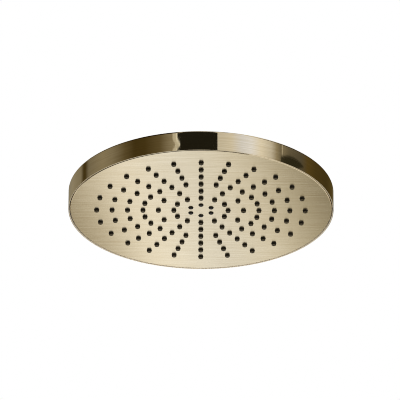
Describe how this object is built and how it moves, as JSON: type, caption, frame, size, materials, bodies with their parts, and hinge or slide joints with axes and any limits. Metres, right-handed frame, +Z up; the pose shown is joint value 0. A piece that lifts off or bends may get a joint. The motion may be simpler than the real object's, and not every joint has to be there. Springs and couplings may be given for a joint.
{
  "type": "rain shower head",
  "caption": "Round overhead rain shower head with silicone nozzles in rings, a slim upright rim and a ball joint with a half-inch threaded inlet.",
  "frame": {"origin": "centre of the threaded inlet's mouth, on top of the ball connector", "axes": "+Z up along the inlet, out of its mouth; the head hangs below with its face down; the connector's spanner flats face +Y and -Y"},
  "size_m": [0.25, 0.25, 0.0743],
  "materials": {
    "bronze_gloss": "fine circular brushing under a gloss light bronze coating",
    "bronze_brushed": "straight brushing under a satin light bronze coating",
    "plain_brass": "turned",
    "steel": "plain",
    "black_silicone": "satin moulded",
    "black_rubber": "matte moulded",
    "white_acetal": "moulded",
    "regulator_plastic": "moulded",
    "chamber_plastic": "moulded",
    "black_nylon": "moulded"
  },
  "bodies": {
    "connector": {"ball_connector": "bronze_gloss", "filter_gasket": "black_rubber", "filter_screen": "steel", "flow_regulator": "regulator_plastic", "regulator_o_ring": "black_rubber"},
    "liner": {"ball_liner": "white_acetal"},
    "head": {"swivel_nut": "bronze_gloss", "ball_seal": "black_rubber", "inlet_neck": "plain_brass", "neck_gasket": "black_rubber", "neck_washer": "black_nylon", "lock_nut": "bronze_gloss", "housing": "bronze_gloss", "chamber_cover": "chamber_plastic", "nozzle_mat": "black_silicone", "face_plate": "bronze_brushed", "face_studs": "plain_brass", "stud_washers": "steel", "stud_nuts": "steel"}
  },
  "joints": [
    {"name": "ball_turn", "type": "hinge", "parent": "connector", "child": "liner", "pos_m": [0, 0, -0.03054], "axis": [0, 0, 1], "continuous": true},
    {"name": "ball_tilt", "type": "hinge", "parent": "liner", "child": "head", "pos_m": [0, 0, -0.03054], "axis": [1, 0, 0], "range_deg": [-15, 15]}
  ]
}
